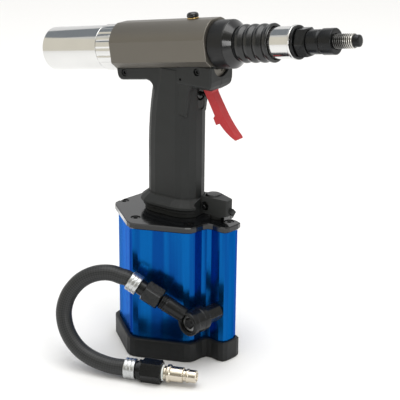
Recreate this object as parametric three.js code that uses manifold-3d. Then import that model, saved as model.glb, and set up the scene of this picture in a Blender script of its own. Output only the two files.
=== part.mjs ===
// A hydro-pneumatic blind rivet nut gun, in millimetres, +Z up, +X towards the nose.
// It stands on its rubber boot: the origin is on the floor at the centre of the air cylinder.
import * as THREE from "three";
import { mergeVertices } from "three/addons/utils/BufferGeometryUtils.js";
import Module from "manifold-3d";

const wasm = await Module();
wasm.setup();

// ---------------------------------------------------------------- driving dimensions
const DEG = Math.PI / 180;
const GAP = 0.3; // clearance between touching pieces
const FIT = 0.3; // radial clearance of a running piece

// The head: one straight axis, tilted nose-up, crossing x = 0 at this height.
const BARREL_TILT = 8.91 * DEG;
const AXIS_HEIGHT = 279.3;

// The foot: a regular hexagon with a flat towards the nose, turned a little off the head.
const FOOT_TWIST = -7.8 * DEG;
const CYLINDER_APOTHEM = 46.6;
const PLATE_APOTHEM = 49.4;
const BOOT_APOTHEM = 50.3;
const CORNER_RADIUS = 8;
const LOBE_FRONT = 68.5; // the valve lobe stands out of the front flat, off centre
const LOBE_NEAR = -6.2;
const LOBE_FAR = 13.5;
const LOBE_GROWTH = 0.6; // the plate and boot stand out less round the lobe than elsewhere
const BOOT_TOP = 18.5;
const BOOT_FLOOR = 3;
const CYLINDER_BOTTOM = 9.6;
const CYLINDER_TOP = 124;
const PLATE_TOP = 129.8;
const BORE_RADIUS = 41;
const RAM_RADIUS = 4.6;

// Stations along the head's axis, measured forward from x = 0.
const TUBE_REAR = -140;
const RING_REAR = -73.8;
const HOUSING_REAR = -55.4;
const HOUSING_FRONT = 48;
const CONE_REAR = 64.3;
const CONE_FRONT = 70.2;
const BELLOWS_FRONT = 104.4;
const FLANGE_REAR = 122.8;
const FLANGE_FRONT = 127.9;
const LOCKNUT_FRONT = 137.6;
const ANVIL_SHOULDER = 148.5;
const ANVIL_FRONT = 161.3;
const THREAD_FRONT = 177.6;
const MANDREL_TIP = 182.4;

// Radii on that axis.
const TUBE_RADIUS = 19.8;
const RING_RADIUS = 20.6;
const HEAD_BORE = 14.9;
const CAP_RADIUS = 20.7;
const CONE_SMALL_RADIUS = 14.8;
const BELLOWS_PEAK = 16.3;
const BELLOWS_VALLEY = 14.5;
const BELLOWS_BORE = 13.7;
const SLEEVE_RADIUS = 13.3;
const FLANGE_RADIUS = 14.3;
const LOCKNUT_FLATS = 22.6;
const NECK_RADIUS = 9.2;
const COLLAR_RADIUS = 10;
const ANVIL_RADIUS = 10.7;
const THREAD_RADIUS = 6; // M12

// The head housing's section: a narrow flat on top, round shoulders, flat sides, chamfered belly.
const SHOULDER_RADIUS = 23.3;
const HOUSING_TOP = 22.3;
const HOUSING_HALF_WIDTH = 22.2;
const CHAMFER_START = -11;
const BELLY_HALF_WIDTH = 15.8;
const HOUSING_BELLY = -16.8;

// The grip.
const GRIP_REAR = -23.4;
const GRIP_BACK_DEPTH = 15; // how deep the round back is
const GRIP_LEAN = 4; // how far the back leans forward under the head
const GRIP_FRONT = 30.3;
const GRIP_HALF_WIDTH = 17;
const GRIP_BOTTOM = 130.1;
const SADDLE_HALF_WIDTH = 16.4;
const SADDLE_BELLY = -27; // the saddle's underside, below the head's axis
const BOSS_HALF_WIDTH = 17;
const BOSS_FRONT = 50.6;
const RAM_TUBE_RADIUS = 13;

// The trigger and its valve.
const TRIGGER_PIVOT = [39.6, 256];
const TRIGGER_HALF_WIDTH = 5.3;
const VALVE_HEIGHT = 241;

// The air inlet and its hose.
const INLET_X = 60.5;
const INLET_Z = 47.8;
const HOSE_RADIUS = 7.2;
const PLUG_AXIS_HEIGHT = 9.7;

// ---------------------------------------------------------------- shape helpers
const V2 = (x, y) => new THREE.Vector2(x, y);
const V3 = (x, y, z) => new THREE.Vector3(x, y, z);
const X_AXIS = V3(1, 0, 0);
const Y_AXIS = V3(0, 1, 0);
const Z_AXIS = V3(0, 0, 1);
const OUTWARD = V3(0, -1, 0); // out of the side that the inlet is on

function manifoldOf(geometry) {
  const bare = geometry.clone();
  bare.deleteAttribute("normal");
  bare.deleteAttribute("uv");
  const merged = mergeVertices(bare, 1e-4);
  return new wasm.Manifold(
    new wasm.Mesh({
      numProp: 3,
      vertProperties: merged.attributes.position.array,
      triVerts: new Uint32Array(merged.index.array),
    }),
  );
}

function geometryOf(solid) {
  const mesh = solid.getMesh();
  const geometry = new THREE.BufferGeometry();
  geometry.setAttribute("position", new THREE.BufferAttribute(mesh.vertProperties, 3));
  geometry.setIndex(new THREE.BufferAttribute(mesh.triVerts, 1));
  geometry.computeVertexNormals();
  return geometry;
}

function join(first, ...others) {
  return geometryOf(others.reduce((solid, g) => solid.add(manifoldOf(g)), manifoldOf(first)));
}

function cut(first, ...others) {
  return geometryOf(others.reduce((solid, g) => solid.subtract(manifoldOf(g)), manifoldOf(first)));
}

function common(first, second) {
  return geometryOf(manifoldOf(first).intersect(manifoldOf(second)));
}

// A closed outline whose corners are rounded by a curve of about the given radius.
function roundedOutline(corners, radius, hole = false) {
  const outline = hole ? new THREE.Path() : new THREE.Shape();
  const count = corners.length;
  corners.forEach(([x, y], i) => {
    const here = V2(x, y);
    const before = V2(...corners[(i + count - 1) % count]).sub(here);
    const after = V2(...corners[(i + 1) % count]).sub(here);
    const reach = Math.min(radius * 0.75, before.length() / 2.05, after.length() / 2.05);
    const a = here.clone().add(before.setLength(reach));
    const b = here.clone().add(after.setLength(reach));
    if (i === 0) outline.moveTo(a.x, a.y);
    else outline.lineTo(a.x, a.y);
    outline.quadraticCurveTo(here.x, here.y, b.x, b.y);
  });
  outline.closePath();
  return outline;
}

// Extrudes an outline from low to high, with its edges rounded by bevel when that is given.
function extruded(outline, low, high, bevel = 0, curveSegments = 2) {
  const geometry = new THREE.ExtrudeGeometry(outline, {
    depth: high - low - 2 * bevel,
    bevelEnabled: bevel > 0,
    bevelThickness: bevel,
    bevelSize: bevel,
    bevelOffset: -bevel,
    bevelSegments: 1,
    curveSegments,
  });
  return geometry.translate(0, 0, low + bevel);
}

// The outline is drawn in X and Z, and extruded along Y.
function extrudedAlongY(outline, low, high, bevel, curveSegments) {
  const geometry = extruded(outline, -high, -low, bevel, curveSegments);
  return geometry.rotateX(Math.PI / 2);
}

// The outline is drawn in Y and Z, and extruded along X.
function extrudedAlongX(outline, low, high, bevel, curveSegments) {
  const geometry = extruded(outline, low, high, bevel, curveSegments);
  return geometry.applyMatrix4(new THREE.Matrix4().makeBasis(Y_AXIS, Z_AXIS, X_AXIS));
}

// A solid of revolution about X. The profile lists [x, radius] from rear to front.
function turned(profile, segments = 20) {
  const geometry = new THREE.LatheGeometry(
    profile.map(([x, r]) => V2(r, x)),
    segments,
  );
  return geometry.rotateZ(-Math.PI / 2);
}

// A tube about X: the outer profile of [x, radius], and one bore right through it.
function turnedTube(outer, bore, segments = 20) {
  const rear = outer[0][0];
  const front = outer[outer.length - 1][0];
  return turned([[rear, bore], ...outer, [front, bore], [rear, bore]], segments);
}

function turnedRod(outer, segments = 20) {
  const rear = outer[0][0];
  const front = outer[outer.length - 1][0];
  return turned([[rear, 0], ...outer, [front, 0]], segments);
}

// The same three about Z, with profiles of [z, radius] from low to high.
const standing = (geometry) => geometry.rotateY(-Math.PI / 2);

// Turns a piece that was made along X so that it lies along a direction from a point.
function aimed(geometry, from, direction) {
  const turn = new THREE.Quaternion().setFromUnitVectors(X_AXIS, direction.clone().normalize());
  return geometry.applyQuaternion(turn).translate(from.x, from.y, from.z);
}

// A hexagonal prism about X whose corners are chamfered by a turned envelope.
function hexagon(flats, low, high, chamfer, bore = 0) {
  const radius = flats / Math.sqrt(3);
  const corners = [];
  for (let i = 0; i < 6; i += 1) {
    const angle = (i + 0.5) * 60 * DEG;
    corners.push([radius * Math.sin(angle), radius * Math.cos(angle)]);
  }
  const prism = extrudedAlongX(roundedOutline(corners, 0.6), low, high, 0, 1);
  const envelope = turnedRod(
    [
      [low - 0.01, radius - chamfer],
      [low + chamfer * 0.6, radius + 0.05],
      [high - chamfer * 0.6, radius + 0.05],
      [high + 0.01, radius - chamfer],
    ],
    20,
  );
  const body = common(prism, envelope);
  if (!bore) return body;
  return cut(body, turnedRod([[low - 1, bore], [high + 1, bore]], 20));
}

// A socket screw that stands up along X, its head at the high end.
function socketScrew(low, high, shank, head, headHeight) {
  const body = turnedRod(
    [
      [low, shank],
      [high - headHeight, shank],
      [high - headHeight, head],
      [high - 0.4, head],
      [high, head - 0.4],
    ],
    8,
  );
  const socket = turnedRod([[high - headHeight * 0.6, head * 0.5], [high + 1, head * 0.5]], 6);
  return cut(body, socket);
}

// A closed solid through rings with equal numbers of points, listed from low to high. Each ring
// is convex and runs counterclockwise as seen from above.
function lofted(rings) {
  const count = rings[0].length;
  const last = rings.length - 1;
  const positions = rings.flat();
  const middle = (ring) => ring.reduce((sum, p) => sum.add(p), V3(0, 0, 0)).divideScalar(count);
  positions.push(middle(rings[0]), middle(rings[last]));
  const [lowMiddle, highMiddle] = [positions.length - 2, positions.length - 1];
  const index = [];
  for (let i = 0; i < count; i += 1) {
    const next = (i + 1) % count;
    index.push(lowMiddle, next, i);
    index.push(highMiddle, last * count + i, last * count + next);
    for (let ring = 0; ring < last; ring += 1) {
      const a = ring * count;
      const b = a + count;
      index.push(a + i, a + next, b + next, a + i, b + next, b + i);
    }
  }
  const geometry = new THREE.BufferGeometry().setFromPoints(positions);
  geometry.setIndex(index);
  geometry.computeVertexNormals();
  return geometry;
}

// ---------------------------------------------------------------- materials
function material(color, roughness, metalness) {
  return new THREE.MeshStandardMaterial({ color, roughness, metalness });
}

const BLACK_PLASTIC = material(0x1d1f1f, 0.55, 0);
const BLACK_RUBBER = material(0x141617, 0.6, 0);
const BLACK_STEEL = material(0x1b1d1e, 0.4, 0.6);
const BLACK_ENAMEL = material(0x0d0f11, 0.18, 0.1);
const GREY_ANODISED = material(0x4b4842, 0.4, 0.7);
const BLUE_ANODISED = material(0x07337f, 0.2, 0.5);
const RED_PLASTIC = material(0x9b1c22, 0.4, 0);
const POLISHED = material(0xd2d4d6, 0.15, 1);
const STEEL = material(0x8f9296, 0.35, 1);
const ZINC = material(0xb7bcc0, 0.3, 1);
const NICKEL = material(0xb9ad94, 0.25, 1);
const BRASS = material(0xb08a3c, 0.3, 1);
const NYLON = material(0xe6e6e2, 0.5, 0);

function piece(parent, name, geometry, look) {
  const mesh = new THREE.Mesh(geometry, look);
  mesh.name = name;
  parent.add(mesh);
  return mesh;
}

// ---------------------------------------------------------------- the foot
// The hexagon with the valve lobe on its front flat.
function footOutline(apothem, radius) {
  const grow = (apothem - CYLINDER_APOTHEM) * LOBE_GROWTH;
  const half = apothem * Math.tan(30 * DEG);
  const corner = apothem / Math.cos(30 * DEG);
  const near = LOBE_NEAR - grow;
  const far = LOBE_FAR + grow;
  const front = LOBE_FRONT + grow;
  return roundedOutline(
    [
      [apothem, -half],
      [apothem, near],
      [front, near],
      [front, far],
      [apothem, far],
      [apothem, half],
      [0, corner],
      [-apothem, half],
      [-apothem, -half],
      [0, -corner],
    ],
    radius,
  );
}

const standingRod = (x, y, outer, segments) =>
  standing(turnedRod(outer, segments)).translate(x, y, 0);

// The plate's screws, at the hexagon's corners and one on the lobe.
const PLATE_SCREWS = [
  [-45, -19.5],
  [-6, -42.4],
  [39.5, -21.6],
  [39.5, 23],
  [-6, 42.4],
  [-45, 19.5],
  [60, 8.4],
];

function footBoot() {
  const outside = extruded(footOutline(BOOT_APOTHEM, CORNER_RADIUS), 0, BOOT_TOP, 0.8);
  const inside = extruded(
    footOutline(CYLINDER_APOTHEM + GAP, CORNER_RADIUS),
    BOOT_FLOOR,
    BOOT_TOP + 1,
  );
  return cut(outside, inside);
}

function bottomPlate() {
  return extruded(
    footOutline(CYLINDER_APOTHEM, CORNER_RADIUS),
    BOOT_FLOOR + GAP,
    CYLINDER_BOTTOM - GAP,
  );
}

function airCylinder() {
  const body = extruded(footOutline(CYLINDER_APOTHEM, CORNER_RADIUS), CYLINDER_BOTTOM, CYLINDER_TOP);
  const bore = standingRod(0, 0, [[0, BORE_RADIUS], [130, BORE_RADIUS]], 26);
  const lobeBore = standingRod(57.5, 3.6, [[22, 5.6], [130, 5.6]], 12);
  const inletBore = aimed(turnedRod([[0, 5], [12, 5]], 12), V3(INLET_X, 4, INLET_Z), OUTWARD);
  return cut(body, bore, lobeBore, inletBore);
}

function topPlate() {
  const low = CYLINDER_TOP + GAP;
  const plate = extruded(footOutline(PLATE_APOTHEM, CORNER_RADIUS), low, PLATE_TOP, 0.9);
  const holes = [standingRod(0, 0, [[100, RAM_RADIUS + FIT], [140, RAM_RADIUS + FIT]], 20)];
  for (const [x, y] of PLATE_SCREWS) {
    holes.push(standingRod(x, y, [[100, 2.3], [low + 1.2, 2.3], [low + 1.2, 4.6], [140, 4.6]], 12));
  }
  return cut(plate, ...holes);
}

function addFoot(object) {
  const foot = new THREE.Group();
  foot.rotation.z = FOOT_TWIST;
  object.add(foot);
  piece(foot, "foot_boot", footBoot(), BLACK_RUBBER);
  piece(foot, "bottom_plate", bottomPlate(), BLACK_STEEL);
  piece(foot, "air_cylinder", airCylinder(), BLUE_ANODISED);
  piece(foot, "top_plate", topPlate(), BLACK_ENAMEL);
  PLATE_SCREWS.forEach(([x, y], i) => {
    const head = CYLINDER_TOP + GAP + 1.2 + GAP;
    const screw = standing(socketScrew(head - 0.9, head + 3.4, 1.9, 4.1, 3.4));
    piece(foot, "plate_screw_" + (i + 1), screw.translate(x, y, 0), BLACK_STEEL);
  });
  addPiston(foot);
  addValveBox(foot);
  addInlet(foot);
}

// The air piston pushes its ram up into the oil in the grip.
function addPiston(foot) {
  const low = CYLINDER_BOTTOM + 2;
  const high = low + 16;
  const radius = BORE_RADIUS - FIT;
  const groove = radius - 3.2;
  piece(
    foot,
    "air_piston",
    standing(
      turnedTube(
        [
          [low, radius],
          [low + 5.4, radius],
          [low + 5.4, groove],
          [low + 10.6, groove],
          [low + 10.6, radius],
          [high, radius],
        ],
        4,
        26,
      ),
    ),
    STEEL,
  );
  const sealProfile = [[low + 5.7, radius], [low + 10.3, radius]];
  piece(
    foot,
    "air_piston_seal",
    standing(turnedTube(sealProfile, groove + FIT, 26)),
    BLACK_RUBBER,
  );
  const ram = turnedRod(
    [
      [low + 1, 3.7],
      [high + GAP, 3.7],
      [high + GAP, RAM_RADIUS],
      [high + 120, RAM_RADIUS],
      [high + 121, RAM_RADIUS - 1],
    ],
    20,
  );
  piece(foot, "ram_rod", standing(ram), POLISHED);
}

// The valve block beside the grip's front, on its foot, with the exhaust silencer's cap on top.
const BLOCK_REAR = 33;
const BLOCK_FRONT = 65.2;
const BLOCK_NEAR = -0.4;
const BLOCK_FAR = 16.8;
const BLOCK_BOTTOM = 134.2;

function addValveBox(foot) {
  const side = roundedOutline(
    [
      [BLOCK_REAR, BLOCK_BOTTOM],
      [BLOCK_FRONT - 9, BLOCK_BOTTOM],
      [BLOCK_FRONT, BLOCK_BOTTOM + 3.4],
      [BLOCK_FRONT, 152],
      [BLOCK_REAR, 149.4],
    ],
    2,
  );
  const plan = roundedOutline(
    [
      [BLOCK_REAR, BLOCK_NEAR],
      [BLOCK_FRONT, BLOCK_NEAR],
      [BLOCK_FRONT, 7],
      [41, BLOCK_FAR],
      [BLOCK_REAR, BLOCK_FAR],
    ],
    3,
  );
  const block = common(
    extrudedAlongY(side, BLOCK_NEAR - 1, BLOCK_FAR + 1),
    extruded(plan, BLOCK_BOTTOM - 1, 160, 0, 5),
  );
  const footing = standingRod(46, 8, [[PLATE_TOP + GAP, 6.5], [BLOCK_BOTTOM + 2, 6.5]], 20);
  const outlet = extrudedAlongX(circle(5, 140.8, 3.4), BLOCK_FRONT - 6, BLOCK_FRONT + 3.4, 0.6);
  const capSeat = standingRod(41.5, 8, [[147.5, 7.4], [160, 7.4]], 20);
  const screwSeat = aimed(turnedRod([[-2, 4.3], [3, 4.3]], 20), V3(39, 0.8, 141.2), OUTWARD);
  const screwHole = aimed(turnedRod([[-9, 1.6], [3, 1.6]], 12), V3(38, 0.8, 139.9), OUTWARD);
  const valve = standingRod(50, 8, [[100, 3], [BLOCK_BOTTOM + 8, 3]], 12);
  const body = cut(join(block, footing, outlet), capSeat, screwSeat, screwHole, valve);
  piece(foot, "valve_box", body, BLACK_PLASTIC);
  const cap = turnedRod([[147.8, 7.1], [150.6, 7.1], [151.4, 6.2]], 20);
  piece(foot, "silencer_cap", standing(cap).translate(41.5, 8, 0), BLACK_STEEL);
  const screw = socketScrew(-6, 1.6, 1.3, 2.2, 1.2);
  piece(foot, "valve_box_screw", aimed(screw, V3(38, 0.2, 139.9), OUTWARD), BLACK_STEEL);
}

// ---------------------------------------------------------------- the inlet and its hose
const INLET_SIDE = LOBE_NEAR; // the lobe's face that the adapter screws into
const SWIVEL_MIDDLE = -38; // where the arm leaves the swivel
const SWIVEL_END = -45.6;
const SWIVEL_REACH = INLET_SIDE - GAP - SWIVEL_END; // from the adapter's root to the swivel's end
const FERRULE_START = 56.8; // along the arm
const FERRULE_LENGTH = 10.4;
const ARM_START = V3(INLET_X + 1.4, SWIVEL_MIDDLE, INLET_Z + 1.2);
const ARM_DIRECTION = V3(-0.8, -0.38, 0.463).normalize();

function addInlet(foot) {
  const root = V3(INLET_X, INLET_SIDE - GAP, INLET_Z);
  const hex = hexagon(14, 0, 17.6, 1);
  const neck = turnedRod([[17.5, 5], [SWIVEL_REACH - 3, 5], [SWIVEL_REACH - 2, 4]], 20);
  const grooveStart = SWIVEL_REACH - 4.4;
  const groove = turnedTube([[grooveStart, 5.6], [grooveStart + 1, 5.6]], 4.2, 20);
  piece(foot, "inlet_adapter", aimed(cut(join(hex, neck), groove), root, OUTWARD), BLACK_STEEL);

  const bodyStart = V3(INLET_X, -24.6, INLET_Z);
  const length = bodyStart.y - SWIVEL_END;
  const barrel = turnedTube(
    [
      [0, 10.2],
      [1, 11.2],
      [length - 1.2, 11.2],
      [length, 10],
    ],
    5 + FIT,
    22,
  );
  const counterbore = aimed(turnedRod([[length - 5, 8], [length + 1, 8]], 20), bodyStart, OUTWARD);
  const hub = aimed(barrel, bodyStart, OUTWARD);
  const arm = aimed(
    turnedRod(
      [
        [8, 6.8],
        [29, 7.3],
        [30, 6.7],
        [31, 7.5],
        [32, 6.7],
        [33, 7.5],
        [34, 6],
      ],
      20,
    ),
    ARM_START,
    ARM_DIRECTION,
  );
  const throat = aimed(turnedRod([[0, 3], [40, 3]], 12), ARM_START, ARM_DIRECTION);
  const clearance = aimed(turnedRod([[-1, 5 + FIT], [40, 5 + FIT]], 20), bodyStart, OUTWARD);
  piece(foot, "inlet_swivel", cut(join(hub, arm), throat, clearance, counterbore), BLACK_STEEL);

  const ring = turnedTube([[0, 7.2], [0.7, 7.2]], 4.5, 24);
  const opening = extrudedAlongX(roundedOutline([[-1.4, 0], [1.4, 0], [1.4, 9], [-1.4, 9]], 0.1), -1, 2);
  piece(
    foot,
    "swivel_clip",
    aimed(cut(ring, opening), V3(INLET_X, root.y - grooveStart - 0.15, INLET_Z), OUTWARD),
    STEEL,
  );

  const nut = hexagon(18.4, 34.4, 51, 1.6);
  const tail = turnedRod([[50.9, 7], [FERRULE_START - GAP, 7]], 20);
  piece(foot, "hose_nut", aimed(join(nut, tail), ARM_START, ARM_DIRECTION), BLACK_STEEL);
  piece(foot, "hose_ferrule", aimed(ferrule(FERRULE_START), ARM_START, ARM_DIRECTION), ZINC);
}

// The crimped sleeve over each end of the hose.
function ferrule(start) {
  const radius = 9.2;
  return turnedRod(
    [
      [start, radius - 0.8],
      [start + 0.8, radius],
      [start + FERRULE_LENGTH - 0.8, radius],
      [start + FERRULE_LENGTH, radius - 0.8],
    ],
    20,
  );
}

// The hose's free route, chosen by hand: out of the upper ferrule, over, down to the floor and
// forward to the lower one. Both ends follow their ferrule's axis.
const HOSE_EXIT = FERRULE_START + FERRULE_LENGTH + GAP;
const onArm = (distance) =>
  ARM_START.clone().addScaledVector(ARM_DIRECTION, distance).applyAxisAngle(Z_AXIS, FOOT_TWIST);
const PLUG_DIRECTION = V3(Math.cos(21 * DEG), Math.sin(21 * DEG), 0);
const PLUG_START = V3(15, -91.2, PLUG_AXIS_HEIGHT); // the lower ferrule's rear end
const HOSE_ROUTE = [
  onArm(HOSE_EXIT).toArray(),
  onArm(HOSE_EXIT + 3).toArray(),
  [-8, -67.2, 82.8],
  [-14, -70, 84.8],
  [-20.5, -73.4, 85.3],
  [-27.5, -77.2, 84],
  [-34, -81, 81],
  [-40, -84.7, 76.4],
  [-45, -88.4, 70],
  [-48.6, -91.8, 62.6],
  [-50.2, -94.6, 55],
  [-50, -97, 47.4],
  [-47.6, -99, 39.6],
  [-43.4, -100.4, 32],
  [-37.2, -101.2, 25],
  [-29.6, -101.2, 19],
  [-20.6, -100.4, 14.6],
  [-11.2, -99, 12],
  [-2, -97, 10.4],
  [6, -94.7, PLUG_AXIS_HEIGHT],
  PLUG_START.clone().addScaledVector(PLUG_DIRECTION, -3).toArray(),
  PLUG_START.clone().addScaledVector(PLUG_DIRECTION, -GAP).toArray(),
];

function hose() {
  const path = new THREE.CatmullRomCurve3(HOSE_ROUTE.map((p) => V3(...p)), false, "centripetal");
  const section = new THREE.Shape();
  const sides = 10;
  for (let i = 0; i < sides; i += 1) {
    const angle = (i / sides) * 2 * Math.PI;
    const method = i === 0 ? "moveTo" : "lineTo";
    section[method](HOSE_RADIUS * Math.cos(angle), HOSE_RADIUS * Math.sin(angle));
  }
  return new THREE.ExtrudeGeometry(section, { steps: 28, extrudePath: path, bevelEnabled: false });
}

function addHose(object) {
  piece(object, "air_hose", hose(), BLACK_RUBBER);
  const lay = (geometry) => aimed(geometry, PLUG_START, PLUG_DIRECTION);
  piece(object, "plug_ferrule", lay(ferrule(0)), ZINC);
  const tail = turnedRod([[FERRULE_LENGTH + GAP, 7.6], [13, 7.6], [13, 9], [16, 9]], 20);
  const nut = hexagon(18.8, 15.6, 34, 2);
  piece(object, "plug_nut", lay(join(tail, nut)), BLACK_STEEL);
  const washer = turnedTube([[34.3, 7.2], [35.8, 7.2]], 4, 24);
  piece(object, "plug_washer", lay(washer), NYLON);
  const s = 36.1;
  const plug = turned(
    [
      [s, 2.6],
      [s, 6.2],
      [s + 2, 6.2],
      [s + 2.8, 7.9],
      [s + 5.2, 8.1],
      [s + 6.2, 6.8],
      [s + 17, 6.8],
      [s + 17.6, 5.3],
      [s + 19.8, 5.3],
      [s + 20.2, 6.2],
      [s + 21.8, 6.2],
      [s + 22.2, 5.6],
      [s + 28.4, 5.6],
      [s + 29, 5],
      [s + 29, 3.6],
      [s + 18, 2.6],
      [s, 2.6],
    ],
    20,
  );
  piece(object, "quick_plug", lay(plug), NICKEL);
}

// ---------------------------------------------------------------- the head
function housingOutline(grow = 0) {
  const outline = new THREE.Shape();
  const radius = SHOULDER_RADIUS + grow;
  const top = HOUSING_TOP + grow;
  const side = HOUSING_HALF_WIDTH + grow;
  const start = Math.asin(top / radius);
  const end = Math.acos(side / radius);
  const belly = BELLY_HALF_WIDTH + grow * 0.6;
  outline.moveTo(belly, HOUSING_BELLY - grow);
  outline.lineTo(side, CHAMFER_START);
  outline.absarc(0, 0, radius, end, start, false);
  outline.absarc(0, 0, radius, Math.PI - start, Math.PI - end, false);
  outline.lineTo(-side, CHAMFER_START);
  outline.lineTo(-belly, HOUSING_BELLY - grow);
  outline.closePath();
  return outline;
}

function headHousing() {
  const body = extrudedAlongX(housingOutline(), HOUSING_REAR, HOUSING_FRONT, 0.5, 7);
  const bore = turnedRod([[HOUSING_REAR - 1, HEAD_BORE], [HOUSING_FRONT + 1, HEAD_BORE]], 26);
  const plugHole = standingRod(23.6, 0, [[10, 3], [30, 3]], 12);
  const oilPort = standingRod(-7, 0, [[-30, 4.5], [-10, 4.5]], 12);
  return cut(body, bore, plugHole, oilPort);
}

// The stroke adjuster: a ring with finger flutes all round and one pin slot.
function adjusterRing() {
  const flutes = 18;
  const outline = new THREE.Shape();
  for (let i = 0; i < flutes; i += 1) {
    const angle = (i / flutes) * 2 * Math.PI;
    const step = (2 * Math.PI) / flutes;
    const points = [
      [0, RING_RADIUS],
      [0.55, RING_RADIUS],
      [0.66, RING_RADIUS - 0.8],
      [0.89, RING_RADIUS - 0.8],
    ];
    points.forEach(([share, radius], k) => {
      const a = angle + share * step;
      const method = i + k === 0 ? "moveTo" : "lineTo";
      outline[method](radius * Math.cos(a), radius * Math.sin(a));
    });
  }
  outline.closePath();
  const front = HOUSING_REAR - GAP;
  const body = extrudedAlongX(outline, RING_REAR, front, 0, 1);
  const bore = turnedRod([[RING_REAR - 1, HEAD_BORE], [front + 1, HEAD_BORE]], 26);
  const slot = standingRod(-66, 0, [[15, 1.4], [24, 1.4]], 12).rotateX(60 * DEG);
  return cut(body, bore, slot);
}

function motorTube() {
  const spigot = HEAD_BORE - FIT;
  return turned(
    [
      [TUBE_REAR, 16.6],
      [TUBE_REAR, TUBE_RADIUS - 2.2],
      [TUBE_REAR + 2.2, TUBE_RADIUS],
      [RING_REAR - GAP, TUBE_RADIUS],
      [RING_REAR - GAP, spigot],
      [-46, spigot],
      [-46, 11.8],
      [RING_REAR - 4, 11.8],
      [RING_REAR - 4, 16.6],
      [TUBE_REAR, 16.6],
    ],
    26,
  );
}

function rearCap() {
  const low = TUBE_REAR + 2;
  const body = turnedRod([[low, 15.4], [low + 0.8, 16.2], [low + 7, 16.2]], 32);
  const vents = [];
  for (let i = 0; i < 6; i += 1) {
    const vent = turnedRod([[low - 1, 1.7], [low + 8, 1.7]], 8).translate(0, 10, 0);
    vents.push(vent.rotateX(i * 60 * DEG));
  }
  return cut(body, ...vents);
}

function frontCap() {
  const body = turnedTube(
    [
      [38, HEAD_BORE - FIT],
      [HOUSING_FRONT + 0.8, HEAD_BORE - FIT],
      [HOUSING_FRONT + 0.8, CAP_RADIUS - 0.6],
      [HOUSING_FRONT + 1.4, CAP_RADIUS],
      [CONE_REAR, CAP_RADIUS],
      [CONE_FRONT, CONE_SMALL_RADIUS],
    ],
    NECK_RADIUS + 2 * FIT,
    26,
  );
  return body;
}

function bellows() {
  const wholeFolds = 3;
  const pitch = 9.1;
  const start = CONE_FRONT + GAP;
  const outer = [[start, BELLOWS_VALLEY]];
  for (let i = 0; i <= wholeFolds; i += 1) {
    const x = start + i * pitch;
    outer.push([x + 0.8, BELLOWS_VALLEY]);
    outer.push([x + pitch * 0.4, BELLOWS_PEAK - 0.2]);
    if (i < wholeFolds) {
      outer.push([x + pitch * 0.7, BELLOWS_PEAK]);
      outer.push([x + pitch, BELLOWS_VALLEY]);
    }
  }
  outer.push([BELLOWS_FRONT - 1, BELLOWS_PEAK]);
  outer.push([BELLOWS_FRONT, BELLOWS_PEAK - 0.6]);
  return turnedTube(outer, BELLOWS_BORE, 20);
}

function noseSleeve() {
  return turnedTube(
    [
      [100, SLEEVE_RADIUS],
      [FLANGE_REAR, SLEEVE_RADIUS],
      [FLANGE_REAR + 0.5, FLANGE_RADIUS],
      [FLANGE_REAR + 2.2, FLANGE_RADIUS],
      [FLANGE_REAR + 2.7, FLANGE_RADIUS - 0.9],
      [FLANGE_REAR + 3.2, FLANGE_RADIUS - 0.2],
      [FLANGE_FRONT - 0.6, FLANGE_RADIUS - 0.2],
      [FLANGE_FRONT, FLANGE_RADIUS - 0.9],
    ],
    NECK_RADIUS + 2 * FIT,
    26,
  );
}

function locknut() {
  const body = hexagon(LOCKNUT_FLATS, FLANGE_FRONT + GAP, LOCKNUT_FRONT, 2.4);
  const bore = turnedRod([[120, NECK_RADIUS + 2 * FIT], [150, NECK_RADIUS + 2 * FIT]], 20);
  return cut(body, bore);
}

function anvil() {
  return turnedTube(
    [
      [LOCKNUT_FRONT + GAP, COLLAR_RADIUS],
      [ANVIL_SHOULDER - 1.2, COLLAR_RADIUS],
      [ANVIL_SHOULDER, NECK_RADIUS],
      [ANVIL_SHOULDER + 1.8, ANVIL_RADIUS],
      [ANVIL_FRONT - 0.6, ANVIL_RADIUS],
      [ANVIL_FRONT, ANVIL_RADIUS - 0.6],
    ],
    THREAD_RADIUS + 0.4,
    22,
  );
}

// The threaded mandrel, its thread drawn as parallel grooves, with the shaft's socket behind.
function mandrel() {
  const pitch = 1.75;
  const depth = 0.95;
  const profile = [[112, THREAD_RADIUS]];
  for (let x = 154; x < THREAD_FRONT - pitch; x += pitch) {
    profile.push([x, THREAD_RADIUS], [x + pitch / 2, THREAD_RADIUS - depth]);
  }
  profile.push([THREAD_FRONT - 0.8, THREAD_RADIUS - 0.1]);
  profile.push([THREAD_FRONT, 4.9], [MANDREL_TIP - 0.8, 4.9], [MANDREL_TIP, 4.1]);
  const socket = turnedRod([[110, 3 + FIT], [132, 3 + FIT]], 12);
  return cut(turnedRod(profile, 12), socket);
}

function pullPiston() {
  const radius = HEAD_BORE - FIT;
  return turnedTube(
    [
      [-32, radius],
      [-28, radius],
      [-28, radius - 2.4],
      [-23, radius - 2.4],
      [-23, radius],
      [-16, radius],
      [-16, 6.8],
      [111.7, 6.8],
    ],
    3 + FIT,
    22,
  );
}

// A wire coil about X.
function coil(low, high, radius, wire, turns) {
  class Helix extends THREE.Curve {
    getPoint(t, target = V3(0, 0, 0)) {
      const angle = t * turns * 2 * Math.PI;
      const x = low + wire + t * (high - low - 2 * wire);
      return target.set(x, radius * Math.cos(angle), radius * Math.sin(angle));
    }
  }
  const section = new THREE.Shape();
  section.absarc(0, 0, wire, 0, 2 * Math.PI, false);
  return new THREE.ExtrudeGeometry(section, {
    steps: turns * 10,
    extrudePath: new Helix(),
    curveSegments: 3,
    bevelEnabled: false,
  });
}

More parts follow.
